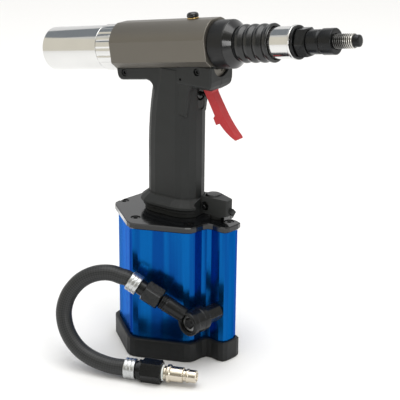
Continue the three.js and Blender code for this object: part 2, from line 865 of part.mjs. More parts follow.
function addHead(object) {
  const head = new THREE.Group();
  head.position.z = AXIS_HEIGHT;
  head.rotation.y = -BARREL_TILT;
  object.add(head);
  piece(head, "head_housing", headHousing(), GREY_ANODISED);
  piece(head, "adjuster_ring", adjusterRing(), POLISHED);
  piece(head, "motor_tube", motorTube(), POLISHED);
  piece(head, "rear_cap", rearCap(), BLACK_PLASTIC);
  piece(head, "motor_rotor", turnedTube([[-124, 13], [-84, 13]], 3 + FIT, 24), STEEL);
  piece(head, "motor_plate", turnedTube([[-77, 11.4], [-72, 11.4]], 3 + FIT, 24), STEEL);
  piece(head, "drive_shaft", turnedRod([[-126, 3], [121, 3]], 12), STEEL);
  piece(head, "return_spring", coil(-45.6, -32.4, 12.6, 1, 3), STEEL);
  piece(head, "pull_piston", pullPiston(), STEEL);
  piece(
    head,
    "pull_piston_seal",
    turnedTube([[-27.7, HEAD_BORE - FIT], [-23.3, HEAD_BORE - FIT]], HEAD_BORE - FIT - 2.1, 32),
    BLACK_RUBBER,
  );
  piece(head, "front_cap", frontCap(), BLACK_ENAMEL);
  piece(head, "nose_barrel", turnedTube([[50, NECK_RADIUS + FIT], [LOCKNUT_FRONT, NECK_RADIUS + FIT]], 7.1, 28), STEEL);
  piece(head, "bellows", bellows(), BLACK_RUBBER);
  piece(head, "nose_sleeve", noseSleeve(), POLISHED);
  piece(head, "locknut", locknut(), BLACK_STEEL);
  piece(head, "anvil", anvil(), BLACK_STEEL);
  piece(head, "mandrel", mandrel(), BLACK_STEEL);
  const washer = turnedTube([[HOUSING_TOP + GAP, 5.1], [HOUSING_TOP + 1.3, 5.1]], 3, 24);
  piece(head, "plug_seal", standing(washer).translate(23.6, 0, 0), BRASS);
  const plug = turnedRod(
    [
      [HOUSING_TOP - 4, 2.6],
      [HOUSING_TOP + 1.6, 2.6],
      [HOUSING_TOP + 1.6, 5.2],
      [HOUSING_TOP + 4, 5.2],
      [HOUSING_TOP + 5.4, 4.2],
      [HOUSING_TOP + 6, 2.4],
    ],
    20,
  );
  piece(head, "oil_plug", standing(plug).translate(23.6, 0, 0), BLACK_ENAMEL);
}

// ---------------------------------------------------------------- the grip
// A point of the head's frame, given along and above its axis, in X and Z.
function headPoint(along, above) {
  return [
    along * Math.cos(BARREL_TILT) - above * Math.sin(BARREL_TILT),
    AXIS_HEIGHT + along * Math.sin(BARREL_TILT) + above * Math.cos(BARREL_TILT),
  ];
}

function inHeadFrame(geometry) {
  return geometry.rotateY(-BARREL_TILT).translate(0, 0, AXIS_HEIGHT);
}

// The grip's section: a round nose, flat sides and a round back.
function gripOutline(grow) {
  const outline = new THREE.Shape();
  const half = GRIP_HALF_WIDTH + grow;
  const noseCentre = GRIP_FRONT - GRIP_HALF_WIDTH;
  const backCentre = GRIP_REAR + GRIP_BACK_DEPTH;
  outline.absellipse(noseCentre, 0, half, half, -Math.PI / 2, Math.PI / 2, false);
  outline.absellipse(
    backCentre,
    0,
    GRIP_BACK_DEPTH + grow,
    half,
    Math.PI / 2,
    1.5 * Math.PI,
    false,
  );
  outline.closePath();
  return outline;
}

// The same section at a height, its back leaning forward towards the head.
function gripRing(z, grow = 0) {
  const lean = GRIP_LEAN * Math.max(0, (z - 190) / 50) ** 2;
  const half = GRIP_HALF_WIDTH + grow;
  const back = GRIP_BACK_DEPTH + grow;
  const steps = 8;
  const ring = [];
  for (let i = 0; i <= steps; i += 1) {
    const angle = -Math.PI / 2 + (i / steps) * Math.PI;
    const x = GRIP_FRONT - GRIP_HALF_WIDTH + half * Math.cos(angle);
    ring.push(V3(x, half * Math.sin(angle), z));
  }
  for (let i = 0; i <= steps; i += 1) {
    const angle = Math.PI / 2 + (i / steps) * Math.PI;
    const x = GRIP_REAR + lean + GRIP_BACK_DEPTH + back * Math.cos(angle);
    ring.push(V3(x, half * Math.sin(angle), z));
  }
  return ring;
}

function grip() {
  return lofted([GRIP_BOTTOM, 190, 204, 218, 230, 242, 262].map((z) => gripRing(z)));
}

// The saddle under the head, its rear tongue and the fillet down into the grip, from the side.
function saddleOutline() {
  const rear = HOUSING_REAR;
  const outline = new THREE.Shape();
  outline.moveTo(...headPoint(rear, -14));
  outline.lineTo(...headPoint(rear, -21));
  outline.quadraticCurveTo(
    ...headPoint(rear, SADDLE_BELLY),
    ...headPoint(rear + 6, SADDLE_BELLY),
  );
  outline.lineTo(...headPoint(-23.5, SADDLE_BELLY));
  outline.quadraticCurveTo(-11.6, 249, -10.6, 239);
  outline.lineTo(-9, 222);
  outline.lineTo(24, 222);
  outline.lineTo(27, 246);
  outline.lineTo(...headPoint(36, -14));
  outline.closePath();
  return outline;
}

// The boss that holds the trigger's pin, from the side.
function bossOutline() {
  const outline = new THREE.Shape();
  outline.moveTo(14, 270.2);
  outline.lineTo(14, 245.8);
  outline.lineTo(41, 245.8);
  outline.quadraticCurveTo(BOSS_FRONT - 0.8, 246.8, BOSS_FRONT, 256.4);
  outline.lineTo(BOSS_FRONT, 270.2);
  outline.closePath();
  return outline;
}

// The boss from the front, in Y and Z: its underside bellies down between the shells' sides.
function bossSection() {
  const side = BOSS_HALF_WIDTH;
  const outline = new THREE.Shape();
  outline.moveTo(-side, 270.2);
  outline.lineTo(-side, 253);
  outline.quadraticCurveTo(-side, 250.4, 3 - side, 249.6);
  outline.quadraticCurveTo(0, 242.2, side - 3, 249.6);
  outline.quadraticCurveTo(side, 250.4, side, 253);
  outline.lineTo(side, 270.2);
  outline.closePath();
  return outline;
}

function gripBody() {
  const boss = common(
    extrudedAlongY(bossOutline(), -BOSS_HALF_WIDTH, BOSS_HALF_WIDTH, 1.5, 4),
    extrudedAlongX(bossSection(), 10, BOSS_FRONT, 1.5, 6),
  );
  return join(
    grip(),
    extrudedAlongY(saddleOutline(), -SADDLE_HALF_WIDTH, SADDLE_HALF_WIDTH, 1.5, 4),
    boss,
  );
}

const SHELL_SCREWS = [headPoint(-46.4, -20.5), headPoint(33.2, -20.7)];
const PIN_HOLE = [18.8, 255.2];

// What the two half shells of the grip are hollowed out for.
function shellCavities() {
  const cavities = [
    inHeadFrame(extrudedAlongX(housingOutline(GAP), -60, HOUSING_FRONT + 0.6, 0, 7)),
    inHeadFrame(turnedRod([[HOUSING_FRONT, CAP_RADIUS + GAP], [80, CAP_RADIUS + GAP]], 26)),
    standingRod(0, 0, [[100, RAM_TUBE_RADIUS + GAP], [261, RAM_TUBE_RADIUS + GAP]], 20),
    triggerSlot(),
    aimed(turnedRod([[0, 6.3], [24, 6.3]], 20), V3(14, 0, VALVE_HEIGHT), X_AXIS),
    extrudedAlongX(valvePocket(), GRIP_FRONT - 1.2, 40, 0, 5),
    extrudedAlongY(circle(...TRIGGER_PIVOT, 2 + GAP), -11, 11, 0, 6),
    extrudedAlongX(plugOutline(GAP), PLUG_REAR - GAP, 80, 0, 12),
  ];
  for (const side of [-1, 1]) {
    const hole = extrudedAlongY(circle(...PIN_HOLE, 1.2), 13, 20, 0, 4);
    cavities.push(side < 0 ? hole.rotateZ(Math.PI).translate(2 * PIN_HOLE[0], 0, 0) : hole);
  }
  for (const [x, z] of SHELL_SCREWS) {
    cavities.push(extrudedAlongY(circle(x, z, 3.5), -20, -SCREW_SEAT, 0, 5));
    cavities.push(extrudedAlongY(circle(x, z, 3.5), SCREW_SEAT, 20, 0, 5));
    cavities.push(extrudedAlongY(circle(x, z, 1.8), -14, 14, 0, 4));
  }
  return cavities;
}

const SCREW_SEAT = SADDLE_HALF_WIDTH - 3.2;

function triggerSlot() {
  return extrudedAlongY(
    roundedOutline([[30.4, 236], [45.8, 236], [45.8, 262.4], [30.4, 262.4]], 2),
    -TRIGGER_HALF_WIDTH - 0.6,
    TRIGGER_HALF_WIDTH + 0.6,
  );
}

// The shallow pocket in the grip's nose under the valve, drawn in Y and Z.
function valvePocket() {
  return roundedOutline([[-4.8, 244], [-4.8, 227], [4.8, 227], [4.8, 244]], 6);
}

function circle(x, z, radius) {
  const outline = new THREE.Shape();
  outline.absarc(x, z, radius, 0, 2 * Math.PI, false);
  return outline;
}

// The grey plug that closes the head's lower bore, between the two shells, behind the boss's
// front face. Its outline is drawn in Y and Z.
const PLUG_REAR = 46.4;
const PLUG_RADIUS = 12.3;
const PLUG_CENTRE_Z = 271.7;

function plugOutline(grow = 0) {
  const outline = new THREE.Shape();
  outline.absarc(0, PLUG_CENTRE_Z, PLUG_RADIUS + grow, 0, 2 * Math.PI, false);
  return outline;
}

function headPlug() {
  const disc = extrudedAlongX(plugOutline(), PLUG_REAR, PLUG_REAR + 1.8, 0, 12);
  const slot = extrudedAlongX(
    roundedOutline([[1.8, 263.4], [4.4, 263.4], [4.4, 280], [1.8, 280]], 1),
    PLUG_REAR + 0.9,
    60,
  );
  const room = 2 * GAP;
  const capSpace = turnedRod([[40, CAP_RADIUS + room], [80, CAP_RADIUS + room]], 26);
  const headSpace = extrudedAlongX(housingOutline(room), -60, HOUSING_FRONT + 0.6, 0, 7);
  return cut(disc, slot, inHeadFrame(capSpace), inHeadFrame(headSpace));
}

function addGrip(object) {
  const body = gripBody();
  const cavities = shellCavities();
  const whole = cut(body, ...cavities);
  const bigBox = (low, high) =>
    extrudedAlongY(
      roundedOutline([[-200, 0], [200, 0], [200, 400], [-200, 400]], 0.1),
      low,
      high,
    );
  piece(object, "grip_shell_right", common(whole, bigBox(-60, -GAP / 2)), BLACK_PLASTIC);
  piece(object, "grip_shell_left", common(whole, bigBox(GAP / 2, 60)), BLACK_PLASTIC);
  addGripBase(object);

  SHELL_SCREWS.forEach(([x, z], i) => {
    for (const side of [-1, 1]) {
      const head = SCREW_SEAT + GAP;
      const screw = socketScrew(0, 13, 1.5, 3.1, 2.2);
      const name = "shell_screw_" + (side < 0 ? "right_" : "left_") + (i + 1);
      const from = V3(x, side * (head + 2.2 - 13), z);
      piece(object, name, aimed(screw, from, V3(0, side, 0)), BLACK_STEEL);
    }
  });

  const tube = turnedTube([[GRIP_BOTTOM, RAM_TUBE_RADIUS], [257.5, RAM_TUBE_RADIUS]], RAM_RADIUS + FIT);
  piece(object, "ram_tube", standing(tube), STEEL);
  piece(object, "head_plug", headPlug(), GREY_ANODISED);
}

// The flared base of the grip, with its two lips, cut away in front for the valve block.
function addGripBase(object) {
  const neck = extruded(gripOutline(3.4), GRIP_BOTTOM, 141, 0, 7);
  const lower = extruded(gripOutline(5.2), BLOCK_BOTTOM - 0.6, 136.4, 1, 7);
  const upper = lofted([
    gripRing(137.2, 6.6),
    gripRing(138.2, 7.5),
    gripRing(140.2, 7.5),
    gripRing(141.6, 6.2),
    gripRing(145.6, 1),
    gripRing(146.4, 0.6),
  ]);
  const inside = extruded(gripOutline(GAP), 100, 200, 0, 7);
  const front = extruded(roundedOutline([[31.2, -12.8], [90, -12.8], [90, 40], [31.2, 40]], 1), 100, 200);
  piece(object, "grip_base", cut(join(neck, lower, upper), inside, front), BLACK_PLASTIC);
}

// ---------------------------------------------------------------- the trigger
function triggerOutline() {
  const outline = new THREE.Shape();
  const [px, pz] = TRIGGER_PIVOT;
  const hub = 5.4;
  outline.moveTo(px - hub, pz);
  outline.absarc(px, pz, hub, Math.PI, 0, true);
  outline.lineTo(px + 4.6, 245);
  outline.quadraticCurveTo(50.2, 234.4, 56.6, 224.6);
  outline.quadraticCurveTo(62.4, 216.4, 69.4, 209.6);
  outline.quadraticCurveTo(71.6, 207, 68, 206.6);
  outline.quadraticCurveTo(59, 210.6, 51.6, 218.8);
  outline.lineTo(48.2, 216.8);
  outline.lineTo(45.2, 222.6);
  outline.lineTo(46.6, 224.8);
  outline.quadraticCurveTo(40.6, 236, px - hub, 246.4);
  outline.closePath();
  return outline;
}

function addTrigger(object) {
  const [px, pz] = TRIGGER_PIVOT;
  const body = extrudedAlongY(triggerOutline(), -TRIGGER_HALF_WIDTH, TRIGGER_HALF_WIDTH, 0.9, 6);
  const bore = extrudedAlongY(circle(px, pz, 2 + GAP), -20, 20, 0, 6);
  piece(object, "trigger", cut(body, bore), RED_PLASTIC);
  piece(object, "trigger_pin", extrudedAlongY(circle(px, pz, 2), -10.6, 10.6, 0, 6), STEEL);

  const bush = turnedTube([[14.6, 6], [26, 6], [28.6, 4.4]], 2.3, 20);
  piece(object, "valve_bush", bush.translate(0, 0, VALVE_HEIGHT), BLACK_STEEL);
  const pin = turnedRod([[17, 2], [35.6, 2], [36.4, 1.2]], 12);
  piece(object, "valve_pin", pin.translate(0, 0, VALVE_HEIGHT), BLACK_STEEL);
}

// ---------------------------------------------------------------- the whole gun
const gun = new THREE.Group();
addFoot(gun);
addHead(gun);
addGrip(gun);
addTrigger(gun);
addHose(gun);

export default gun;
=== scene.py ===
"""The looks of a pneumatic rivet nut gun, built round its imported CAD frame. Metres, +Z up."""

import math

import bpy
from mathutils import Matrix, Vector


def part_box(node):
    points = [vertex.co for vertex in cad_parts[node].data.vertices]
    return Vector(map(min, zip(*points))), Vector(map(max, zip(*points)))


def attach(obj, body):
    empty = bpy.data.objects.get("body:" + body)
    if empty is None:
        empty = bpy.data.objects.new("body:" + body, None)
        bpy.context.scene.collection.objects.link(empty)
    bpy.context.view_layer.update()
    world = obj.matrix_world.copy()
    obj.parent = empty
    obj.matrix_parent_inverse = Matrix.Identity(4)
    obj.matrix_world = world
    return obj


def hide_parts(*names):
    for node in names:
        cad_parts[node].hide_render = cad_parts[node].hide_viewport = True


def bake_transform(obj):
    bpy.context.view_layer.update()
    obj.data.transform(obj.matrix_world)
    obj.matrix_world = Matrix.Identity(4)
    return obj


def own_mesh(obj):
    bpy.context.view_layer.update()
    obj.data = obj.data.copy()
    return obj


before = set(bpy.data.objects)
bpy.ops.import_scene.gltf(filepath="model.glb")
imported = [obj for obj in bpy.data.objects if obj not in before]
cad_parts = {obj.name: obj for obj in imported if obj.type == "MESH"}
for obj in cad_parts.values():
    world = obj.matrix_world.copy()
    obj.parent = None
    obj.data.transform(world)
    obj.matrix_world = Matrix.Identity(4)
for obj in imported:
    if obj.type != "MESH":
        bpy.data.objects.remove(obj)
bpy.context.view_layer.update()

MM = 0.001
DEG = math.pi / 180
X_AXIS = Vector((1, 0, 0))
TILT = 8.91 * DEG  # how far the head's nose points up
AXIS_HEIGHT = 0.2793
HEAD_AXIS = Vector((math.cos(TILT), 0, math.sin(TILT)))
HEAD = Matrix.Translation((0, 0, AXIS_HEIGHT)) @ Matrix.Rotation(-TILT, 4, "Y")
FOOT_TURN = -7.8 * DEG  # how the hexagonal foot is clocked against the grip
FOOT = Matrix.Rotation(FOOT_TURN, 4, "Z")
PLUG_TURN = 21 * DEG  # how the quick plug lies on the floor, from X
PLUG_DIRECTION = Vector((math.cos(PLUG_TURN), math.sin(PLUG_TURN), 0))
SEGMENTS = 96
SHARP_ANGLE = 32  # degrees, above which an edge stays crisp


def linked(name, data):
    """A new object in the scene."""
    made = bpy.data.objects.new(name, data)
    bpy.context.scene.collection.objects.link(made)
    return made


# Camera and stage


def add_camera():
    azimuth, elevation, roll = 35.19 * DEG, 19.79 * DEG, 0.63 * DEG
    distance = 1.06588
    target = Vector((0.0322, -0.00443, 0.14498))
    towards = Vector(
        (
            math.sin(azimuth) * math.cos(elevation),
            -math.cos(azimuth) * math.cos(elevation),
            math.sin(elevation),
        )
    )
    right = Vector((math.cos(azimuth), math.sin(azimuth), 0))
    up = towards.cross(right)
    across = right * math.cos(roll) + up * math.sin(roll)
    above = up * math.cos(roll) - right * math.sin(roll)
    data = bpy.data.cameras.new("camera")
    data.lens = 108
    data.sensor_width = 36
    data.clip_end = 100
    camera = linked("camera", data)
    basis = Matrix((across, above, towards)).transposed().to_4x4()
    camera.matrix_world = Matrix.Translation(target + towards * distance) @ basis
    bpy.context.scene.camera = camera


def add_area_light(name, place, target, size, watts):
    data = bpy.data.lights.new(name, "AREA")
    data.shape = "RECTANGLE"
    data.size, data.size_y = size
    data.energy = watts
    light = linked(name, data)
    facing = (Vector(target) - Vector(place)).to_track_quat("-Z", "Y")
    light.matrix_world = Matrix.Translation(place) @ facing.to_matrix().to_4x4()


def add_sky_light():
    """A broad, very soft light that keeps the far floor white."""
    data = bpy.data.lights.new("sky_light", "SUN")
    data.energy = 0.88
    data.angle = 70 * DEG
    light = linked("sky_light", data)
    lean = 12 * DEG
    light.matrix_world = Matrix.Rotation(lean, 4, "X")


def add_sheet(name, width, depth, color, roughness, specular, glow=None):
    """A flat staging rectangle in its own plain material."""
    x, y = width / 2, depth / 2
    mesh = bpy.data.meshes.new(name)
    mesh.from_pydata([(-x, -y, 0), (x, -y, 0), (x, y, 0), (-x, y, 0)], [], [(0, 1, 2, 3)])
    material = bpy.data.materials.new(name)
    material.use_nodes = True
    shader = material.node_tree.nodes["Principled BSDF"]
    shader.inputs["Base Color"].default_value = (*color, 1)
    shader.inputs["Roughness"].default_value = roughness
    shader.inputs["Specular IOR Level"].default_value = specular
    if glow:
        shader.inputs["Emission Color"].default_value = (*glow, 1)
        shader.inputs["Emission Strength"].default_value = 1
    mesh.materials.append(material)
    sheet = linked(name, mesh)
    return sheet


def add_card(name, centre, size, glow, target):
    """A studio card that is seen only in reflections."""
    card = add_sheet(name, *size, (0, 0, 0), 1, 0, glow)
    facing = (Vector(target) - Vector(centre)).to_track_quat("Z", "Y")
    card.matrix_world = Matrix.Translation(centre) @ facing.to_matrix().to_4x4()
    card.visible_camera = False
    card.visible_diffuse = False
    card.visible_shadow = False


def add_floor():
    side = 24
    add_sheet("floor", side, side, (0.86, 0.86, 0.86), 0.9, 0.1)


def add_world():
    """A room that is bright behind the gun and overhead, and dimmer on the near side."""
    world = bpy.data.worlds.new("studio")
    bpy.context.scene.world = world
    world.use_nodes = True
    tree = world.node_tree
    background = tree.nodes["Background"]
    coordinates = tree.nodes.new("ShaderNodeTexCoord")
    facing = tree.nodes.new("ShaderNodeVectorMath")
    facing.operation = "DOT_PRODUCT"
    tree.links.new(coordinates.outputs["Generated"], facing.inputs[0])
    bright_side = (-0.5, 0.72, 0.48)
    facing.inputs[1].default_value = bright_side
    spread = tree.nodes.new("ShaderNodeMapRange")
    spread.inputs["From Min"].default_value = -1
    tree.links.new(facing.outputs["Value"], spread.inputs["Value"])
    ramp = tree.nodes.new("ShaderNodeValToRGB")
    tree.links.new(spread.outputs["Result"], ramp.inputs[0])
    stops = (
        (0.0, (0.3, 0.29, 0.27)),
        (0.35, (0.5, 0.48, 0.42)),
        (0.55, (0.72, 0.7, 0.64)),
        (0.8, (1, 1, 1)),
    )
    elements = ramp.color_ramp.elements
    while len(elements) < len(stops):
        elements.new(0.5)
    for element, (position, color) in zip(elements, stops):
        element.position = position
        element.color = (*color, 1)
    tree.links.new(ramp.outputs["Color"], background.inputs["Color"])
    background.inputs["Strength"].default_value = 0.85


def add_studio():
    add_camera()
    add_world()
    add_floor()
    add_area_light("top_softbox", (0.1, 0.1, 1.9), (0, 0, 0.1), (1.8, 1.4), 17.5)
    add_area_light("right_softbox", (1.3, -0.75, 0.68), (0.06, 0, 0.25), (0.45, 0.5), 4.5)
    add_sky_light()
    add_card("tube_card", (-1.35, 0.1, 1.35), (1.3, 1.4), (0.24, 0.26, 0.28), (-1.35, 0.1, 0))
    add_card("room_card", (-0.85, -0.85, 0.52), (1.7, 0.95), (0.78, 0.74, 0.64), (0, 0, 0.25))
    streak_height, streak_glow = 0.12, (3, 3, 3)
    for name, place, width, facet in (
        ("left_streak", (-0.078, -0.018, 0.064), 0.004, (-0.029, -0.037, 0.064)),
        ("lobe_streak", (0.11, -0.068, 0.064), 0.014, (0.066, -0.014, 0.064)),
    ):
        add_card(name, place, (width, streak_height), streak_glow, facet)
    settings = bpy.context.scene.view_settings
    settings.view_transform = "Standard"
    settings.look = "None"


# Materials


class Finish:
    """One procedural material: a Principled shader and the nodes that feed it."""

    def __init__(self, name, color, roughness, metallic=0.0, **sockets):
        self.material = bpy.data.materials.new(name)
        self.material.use_nodes = True
        self.tree = self.material.node_tree
        self.shader = self.tree.nodes["Principled BSDF"]
        self.color = color
        self.shader.inputs["Base Color"].default_value = (*color, 1)
        self.shader.inputs["Roughness"].default_value = roughness
        self.shader.inputs["Metallic"].default_value = metallic
        for socket, value in sockets.items():
            self.shader.inputs[socket.replace("_", " ")].default_value = value
        self.place = self.node("TexCoord").outputs["Object"]

    def feed(self, socket, value):
        """Links another node's output to the socket, or sets the socket's own value."""
        if hasattr(value, "is_output"):
            self.tree.links.new(value, socket)
        else:
            socket.default_value = value

    def node(self, kind, **inputs):
        made = self.tree.nodes.new("ShaderNode" + kind)
        for name, value in inputs.items():
            self.feed(made.inputs[name.replace("_", " ")], value)
        return made

    def noise(self, scale, detail=3.0, place=None):
        made = self.node("TexNoise", Scale=scale, Detail=detail)
        self.tree.links.new(place or self.place, made.inputs["Vector"])
        return made.outputs["Fac"]

    def math(self, operation, first, second=0.0):
        made = self.tree.nodes.new("ShaderNodeMath")
        made.operation = operation
        self.feed(made.inputs[0], first)
        self.feed(made.inputs[1], second)
        return made.outputs[0]

    def vector_math(self, operation, first, second=None):
        made = self.tree.nodes.new("ShaderNodeVectorMath")
        made.operation = operation
        self.tree.links.new(first, made.inputs[0])
        if second is not None:
            made.inputs[1].default_value = second
        return made.outputs

    def ranged(self, value, low, high, start=0.0, end=1.0):
        """The value mapped from start..end to low..high."""
        made = self.node("MapRange", Value=value, To_Min=low, To_Max=high)
        made.inputs["From Min"].default_value = start
        made.inputs["From Max"].default_value = end
        return made.outputs[0]

    def from_head(self):
        """The place relative to the middle of the head axis."""
        return self.vector_math("SUBTRACT", self.place, (0, 0, AXIS_HEIGHT))[0]

    def station(self):
        """How far forward a point is along the head axis."""
        return self.vector_math("DOT_PRODUCT", self.from_head(), HEAD_AXIS)["Value"]

    def head_radius(self):
        """How far a point is from the head axis."""
        across = self.vector_math("CROSS_PRODUCT", self.from_head(), HEAD_AXIS)[0]
        return self.vector_math("LENGTH", across)["Value"]

    def along(self, axis):
        """A texture place that changes only along an axis, for lathe marks."""
        joined = self.tree.nodes.new("ShaderNodeCombineXYZ")
        distance = self.vector_math("DOT_PRODUCT", self.place, axis)["Value"]
        self.tree.links.new(distance, joined.inputs[0])
        return joined.outputs[0]

    def mix(self, share, first, second):
        made = self.tree.nodes.new("ShaderNodeMix")
        made.data_type = "RGBA"
        self.tree.links.new(share, made.inputs["Factor"])
        for name, value in (("A", first), ("B", second)):
            color = (*value, 1) if isinstance(value, tuple) else value
            self.feed(made.inputs[name], color)
        return made.outputs["Result"]

    def colored(self, value):
        self.tree.links.new(value, self.shader.inputs["Base Color"])
        return value

    def rough(self, value):
        self.tree.links.new(value, self.shader.inputs["Roughness"])

    def bumped(self, height, strength, distance):
        bump = self.node("Bump", Strength=strength, Distance=distance, Height=height)
        previous = self.shader.inputs["Normal"].links
        if previous:
            self.tree.links.new(previous[0].from_socket, bump.inputs["Normal"])
        self.tree.links.new(bump.outputs["Normal"], self.shader.inputs["Normal"])

    def tinted(self, amount, scale):
        """Slow changes of tone over the surface."""
        light = tuple(min(1, c * (1 + amount)) for c in self.color)
        dark = tuple(c * (1 - amount) for c in self.color)
        return self.colored(self.mix(self.noise(scale, 4), dark, light))

    def worn(self, base, bare, start=0.53, end=0.62, most=0.7):
        """Convex edges are worn towards the bare colour, unevenly."""
        edge = self.node("NewGeometry").outputs["Pointiness"]
        share = self.ranged(edge, 0, most, start, end)
        broken = self.math("MULTIPLY", share, self.ranged(self.noise(260, 4), 0, 1, 0.35, 0.65))
        self.colored(self.mix(broken, base, bare))


def composite():
    finish = Finish("moulded_composite", (0.0165, 0.018, 0.018), 0.5, Specular_IOR_Level=0.32)
    base = finish.tinted(0.16, 34)
    finish.worn(base, (0.028, 0.03, 0.03), 0.6, 0.75)
    finish.rough(finish.ranged(finish.noise(90, 5), 0.42, 0.6))
    finish.bumped(finish.noise(1900, 2), 0.25, 0.00012)
    finish.bumped(finish.noise(420, 2), 0.1, 0.0001)
    return finish.material


def rubber(name="rubber", shine=0.5, gloss=0.3):
    finish = Finish(name, (0.0085, 0.0095, 0.01), shine, Specular_IOR_Level=gloss)
    base = finish.tinted(0.2, 45)
    finish.worn(base, (0.024, 0.026, 0.027), 0.54, 0.68)
    finish.rough(finish.ranged(finish.noise(150, 4), shine - 0.09, shine + 0.09))
    finish.bumped(finish.noise(2600, 2), 0.16, 0.0001)
    return finish.material


def hose_cover():
    """Braided rubber: two sets of strands cross round the hose, and their pattern is painted lighter in
    spots, a painted sheen.
    """
    finish = Finish("hose_cover", (0.02, 0.021, 0.022), 0.45, Specular_IOR_Level=0.35)
    uv = finish.node("TexCoord").outputs["UV"]
    split = finish.node("SeparateXYZ", Vector=uv)
    strands_round, strands_per_metre = 12, 230
    round_turns = finish.math("MULTIPLY", split.outputs["X"], strands_round)
    along_turns = finish.math("MULTIPLY", split.outputs["Y"], strands_per_metre)
    strands = []
    for operation in ("ADD", "SUBTRACT"):
        turns = finish.math(operation, round_turns, along_turns)
        strands.append(finish.math("SINE", finish.math("MULTIPLY", turns, 2 * math.pi)))
    weave_and_sheen = finish.ranged(finish.math("MULTIPLY", *strands), 0, 1, -1, 1)
    # The braid pattern in the colour, its lighter spots a painted sheen.
    finish.colored(finish.mix(weave_and_sheen, (0.012, 0.013, 0.0135), (0.036, 0.0375, 0.039)))
    finish.rough(finish.ranged(finish.noise(220, 4), 0.34, 0.52))
    finish.bumped(weave_and_sheen, 0.3, 0.00018)
    return finish.material


def black_oxide(name="black_oxide_steel", crest_highlight=None):
    """Blacked steel. Near an optional (station, radius) the outermost rims are painted pale, a painted
    highlight.
    """
    finish = Finish(name, (0.02, 0.021, 0.022), 0.26, 0.75)
    base = finish.tinted(0.2, 60)
    if crest_highlight:
        # Painted highlight: the thread crests towards the tip are painted pale, like bare steel.
        station, radius = crest_highlight
        rim, fade, full, least = 0.0008, 0.009, 0.001, 0.12
        crest = finish.ranged(finish.head_radius(), 0, 1, radius - rim, radius)
        near = finish.ranged(finish.station(), least, 1, station - fade, station - full)
        share = finish.math("MULTIPLY", crest, near)
        finish.colored(finish.mix(share, base, (0.75, 0.73, 0.68)))
    else:
        finish.worn(base, (0.13, 0.128, 0.124), 0.55, 0.68, 0.4)
    finish.rough(finish.ranged(finish.noise(180, 5), 0.18, 0.34))
    finish.bumped(finish.noise(1500, 3), 0.08, 0.0001)
    return finish.material


def enamel(name="gloss_enamel", roughness=0.13, gloss=0.5):
    finish = Finish(name, (0.006, 0.0066, 0.0074), roughness, Specular_IOR_Level=gloss)
    finish.shader.inputs["Coat Weight"].default_value = 0.12
    finish.shader.inputs["Coat Roughness"].default_value = 0.05
    finish.tinted(0.15, 30)
    finish.rough(finish.ranged(finish.noise(120, 5), roughness - 0.03, roughness + 0.06))
    finish.bumped(finish.noise(520, 2), 0.04, 0.0001)
    return finish.material


def grey_anodised():
    finish = Finish("grey_anodised_aluminium", (0.158, 0.147, 0.128), 0.42, 0.7)
    grain = finish.noise(1700, 3)
    base = finish.tinted(0.03, 14)
    speckled = finish.mix(finish.ranged(grain, 0, 0.14), base, (0.2, 0.188, 0.165))
    finish.colored(speckled)
    finish.rough(finish.ranged(finish.noise(60, 3), 0.4, 0.45))
    finish.bumped(grain, 0.015, 0.0001)
    return finish.material


def blue_anodised():
    """Dyed aluminium: long die lines bend its reflections into upright streaks, and broad upright bands
    of painted reflection darken its colour in places.
    """
    finish = Finish("blue_anodised_aluminium", (0.003, 0.1, 0.36), 0.19, 0.9)
    finish.shader.inputs["Specular IOR Level"].default_value = 0.1
    finish.shader.inputs["Specular Tint"].default_value = (0.02, 0.4, 0.75, 1)
    stretch = (1, 1, 0.03)
    drawn = finish.node("Mapping", Vector=finish.place, Scale=stretch).outputs[0]
    lines = finish.noise(520, 3, drawn)
    fine = finish.mix(lines, (0.003, 0.086, 0.31), (0.004, 0.118, 0.4))
    # Painted reflection: broad upright bands where the blue is darker, as if it mirrored dark panels.
    broad = finish.ranged(finish.noise(85, 2, drawn), 0, 1, 0.42, 0.55)
    finish.colored(finish.mix(broad, (0.003, 0.056, 0.26), fine))
    finish.rough(finish.ranged(finish.noise(150, 4), 0.15, 0.26))
    finish.bumped(finish.noise(70, 1, drawn), 0.35, 0.0016)
    finish.bumped(lines, 0.05, 0.0001)
    return finish.material


def turned_metal(name, color, roughness, axis):
    """Bright metal with fine lathe marks round an axis."""
    finish = Finish(name, color, roughness, 1.0)
    lines = finish.noise(2400, 3, finish.along(axis))
    finish.tinted(0.05, 40)
    finish.rough(finish.ranged(finish.noise(170, 4), roughness * 0.75, roughness * 1.35))
    finish.bumped(lines, 0.1, 0.00006)
    return finish.material


def plated(name, color, roughness):
    finish = Finish(name, color, roughness, 1.0)
    finish.tinted(0.04, 90)
    finish.rough(finish.ranged(finish.noise(260, 5), roughness * 0.85, roughness * 1.2))
    finish.bumped(finish.noise(900, 3), 0.015, 0.0001)
    return finish.material


def red_plastic():
    finish = Finish("red_plastic", (0.47, 0.027, 0.032), 0.38, Specular_IOR_Level=0.3)
    base = finish.tinted(0.08, 60)
    finish.worn(base, (0.6, 0.12, 0.12), 0.53, 0.68)
    finish.rough(finish.ranged(finish.noise(140, 4), 0.33, 0.47))
    finish.bumped(finish.noise(1500, 2), 0.1, 0.0001)
    return finish.material


def nylon():
    finish = Finish("nylon", (0.8, 0.8, 0.77), 0.42, Subsurface_Weight=0.1)
    finish.tinted(0.04, 80)
    finish.rough(finish.ranged(finish.noise(200, 3), 0.36, 0.5))
    finish.bumped(finish.noise(1300, 2), 0.06, 0.0001)
    return finish.material


